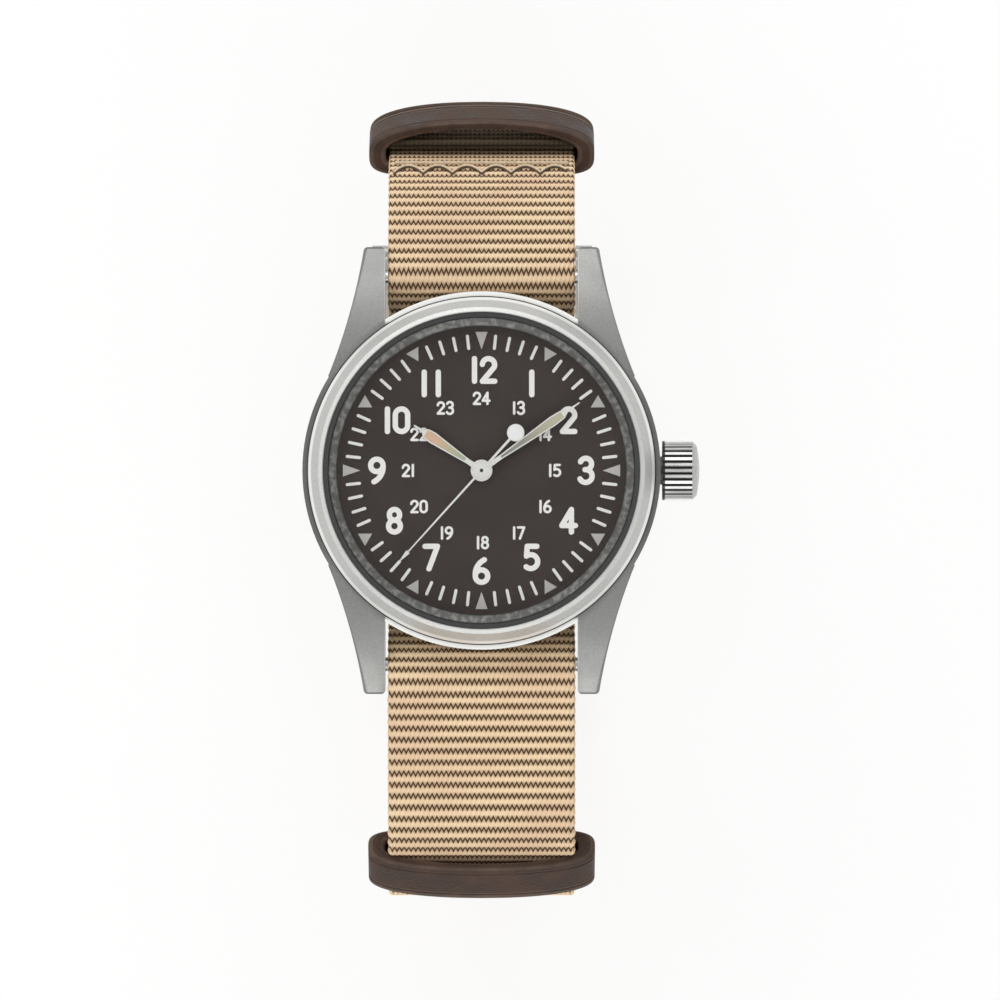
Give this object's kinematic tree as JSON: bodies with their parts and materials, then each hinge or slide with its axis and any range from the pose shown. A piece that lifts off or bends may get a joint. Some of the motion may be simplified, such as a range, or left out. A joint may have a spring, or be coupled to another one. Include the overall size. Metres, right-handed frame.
{
  "type": "field wristwatch",
  "caption": "Steel field watch with domed crystal, knurled crown and hand-wound movement on a closed ribbed fabric strap with leather keepers and buckle.",
  "frame": {"origin": "on the strap's flat underside, straight below the dial's centre", "axes": "+Z out of the dial, +Y to 12 o'clock, +X to the crown"},
  "size_m": [0.0422, 0.0855, 0.0565],
  "materials": {
    "case_steel": "bead blasted",
    "crown_steel": "fine brushed",
    "sapphire": "polished",
    "gasket": "matt",
    "flange": "satin grey",
    "dial_black": "matt",
    "dial_print": "print and luminous paste",
    "hand_steel": "satin with luminous paste",
    "plate_nickel": "grained nickel plate",
    "jewel_red": "polished ruby",
    "wheel_brass": "gilt",
    "works_steel": "polished",
    "strap_nylon": "ribbed weave",
    "keeper_leather": "dyed edge",
    "buckle_steel": "satin"
  },
  "bodies": {
    "case": {"case_middle": "case_steel", "bezel": "case_steel", "crystal": "sapphire", "crystal_gasket": "gasket", "flange_ring": "flange", "case_back": "case_steel", "case_back_gasket": "gasket", "dial": "dial_black", "dial_markers": "dial_print", "movement_ring": "plate_nickel", "mainplate": "plate_nickel", "barrel_bridge": "plate_nickel", "train_bridge": "plate_nickel", "balance_cock": "plate_nickel", "pallet_bridge": "plate_nickel", "jewels": "jewel_red", "bridge_screws": "works_steel", "casing_clamps": "works_steel", "click_spring": "works_steel", "hairspring": "works_steel", "setting_jumper": "works_steel", "pivot_posts": "works_steel", "crown_tube": "crown_steel", "spring_bar_12": "works_steel", "spring_bar_6": "works_steel", "main_strap": "strap_nylon", "short_strap": "strap_nylon", "keeper_upper": "keeper_leather", "keeper_lower": "keeper_leather", "keeper_buckle": "keeper_leather", "buckle_bar": "buckle_steel"},
    "minutes": {"centre_wheel": "wheel_brass", "cannon_pinion": "works_steel", "minute_hand": "hand_steel"},
    "hours": {"hour_wheel": "wheel_brass", "hour_hand": "hand_steel"},
    "seconds": {"fourth_wheel": "wheel_brass", "seconds_hand": "hand_steel"},
    "third": {"third_wheel": "wheel_brass"},
    "barrel": {"barrel_drum": "wheel_brass", "barrel_cover": "wheel_brass", "mainspring": "works_steel"},
    "escape": {"escape_wheel": "works_steel"},
    "minute_works": {"minute_wheel": "wheel_brass"},
    "winding": {"winding_pinion": "works_steel"},
    "clutch": {"sliding_pinion": "works_steel"},
    "crown_unit": {"crown": "crown_steel", "winding_stem": "works_steel", "crown_gasket": "gasket"},
    "crown_wheel_body": {"crown_wheel": "works_steel"},
    "ratchet": {"ratchet_wheel": "works_steel", "barrel_arbor": "works_steel", "ratchet_screw": "works_steel"},
    "click_body": {"click": "works_steel"},
    "lever": {"setting_lever": "works_steel"},
    "yoke_body": {"yoke": "works_steel"},
    "balance": {"balance_wheel": "wheel_brass"},
    "pallets": {"pallet_fork": "works_steel"},
    "buckle": {"buckle_frame": "buckle_steel"},
    "tang": {"buckle_tang": "buckle_steel"}
  },
  "joints": [
    {"name": "seconds_turn", "type": "hinge", "parent": "case", "child": "seconds", "pos_m": [0, 0, 0.0526], "axis": [0, 0, -1], "continuous": true},
    {"name": "minute_turn", "type": "hinge", "parent": "case", "child": "minutes", "pos_m": [0, 0, 0.0526], "axis": [0, 0, -1], "continuous": true},
    {"name": "hour_turn", "type": "hinge", "parent": "case", "child": "hours", "pos_m": [0, 0, 0.0526], "axis": [0, 0, -1], "continuous": true},
    {"name": "third_turn", "type": "hinge", "parent": "case", "child": "third", "pos_m": [-0.00369, -0.00258, 0.0526], "axis": [0, 0, -1], "continuous": true},
    {"name": "barrel_turn", "type": "hinge", "parent": "case", "child": "barrel", "pos_m": [0.00382, 0.00501, 0.0526], "axis": [0, 0, -1], "continuous": true},
    {"name": "escape_turn", "type": "hinge", "parent": "case", "child": "escape", "pos_m": [0.00056, -0.00315, 0.0526], "axis": [0, 0, -1], "continuous": true},
    {"name": "minute_wheel_turn", "type": "hinge", "parent": "case", "child": "minute_works", "pos_m": [0.00226, -0.00082, 0.0526], "axis": [0, 0, -1], "continuous": true},
    {"name": "crown_turn", "type": "hinge", "parent": "case", "child": "winding", "pos_m": [0.019, 0, 0.0504], "axis": [1, 0, 0], "continuous": true},
    {"name": "clutch_slide", "type": "slide", "parent": "winding", "child": "clutch", "axis": [1, 0, 0], "range_m": [-0.0004, 0]},
    {"name": "crown_pull", "type": "slide", "parent": "winding", "child": "crown_unit", "axis": [1, 0, 0], "range_m": [0, 0.001]},
    {"name": "crown_wheel_turn", "type": "hinge", "parent": "case", "child": "crown_wheel_body", "pos_m": [0.0078, 0, 0.0526], "axis": [0, 0, 1], "continuous": true},
    {"name": "ratchet_turn", "type": "hinge", "parent": "case", "child": "ratchet", "pos_m": [0.00382, 0.00501, 0.0526], "axis": [0, 0, 1], "continuous": true},
    {"name": "click_rock", "type": "hinge", "parent": "case", "child": "click_body", "pos_m": [-0.0005, 0.0075, 0.0526], "axis": [0, 0, 1], "range_deg": [0, 8], "stiffness_Nm_per_rad": 0.0002},
    {"name": "setting_lever_turn", "type": "hinge", "parent": "case", "child": "lever", "pos_m": [0.01175, 0.0023, 0.0526], "axis": [0, 0, 1], "range_deg": [0, 28]},
    {"name": "yoke_turn", "type": "hinge", "parent": "case", "child": "yoke_body", "pos_m": [0.00903, -0.0032, 0.0526], "axis": [0, 0, 1], "range_deg": [0, 9]},
    {"name": "balance_swing", "type": "hinge", "parent": "case", "child": "balance", "pos_m": [0.0034, -0.0074, 0.0526], "axis": [0, 0, 1], "range_deg": [-270, 270]},
    {"name": "pallet_rock", "type": "hinge", "parent": "case", "child": "pallets", "pos_m": [0.002, -0.00531, 0.0526], "axis": [0, 0, 1], "range_deg": [-5, 5]},
    {"name": "buckle_swing", "type": "hinge", "parent": "case", "child": "buckle", "pos_m": [0, 0.02386, 0.01139], "axis": [1, 0, 0], "range_deg": [0, 8]},
    {"name": "tang_lift", "type": "hinge", "parent": "buckle", "child": "tang", "pos_m": [0, 0.02386, 0.01139], "axis": [1, 0, 0], "range_deg": [0, 12]}
  ],
  "couplings": [
    {"joint": "minute_turn", "follows": "seconds_turn", "ratio": 0.016667},
    {"joint": "hour_turn", "follows": "seconds_turn", "ratio": 0.0013889},
    {"joint": "third_turn", "follows": "seconds_turn", "ratio": -0.13333},
    {"joint": "barrel_turn", "follows": "seconds_turn", "ratio": -0.0027778},
    {"joint": "escape_turn", "follows": "seconds_turn", "ratio": -12},
    {"joint": "minute_wheel_turn", "follows": "seconds_turn", "ratio": -0.0055556},
    {"joint": "crown_wheel_turn", "follows": "crown_turn", "ratio": 0.48},
    {"joint": "ratchet_turn", "follows": "crown_turn", "ratio": -0.30769},
    {"joint": "clutch_slide", "follows": "crown_pull", "ratio": -0.4},
    {"joint": "setting_lever_turn", "follows": "crown_pull", "rad_per_m": 435},
    {"joint": "yoke_turn", "follows": "crown_pull", "rad_per_m": 125}
  ]
}
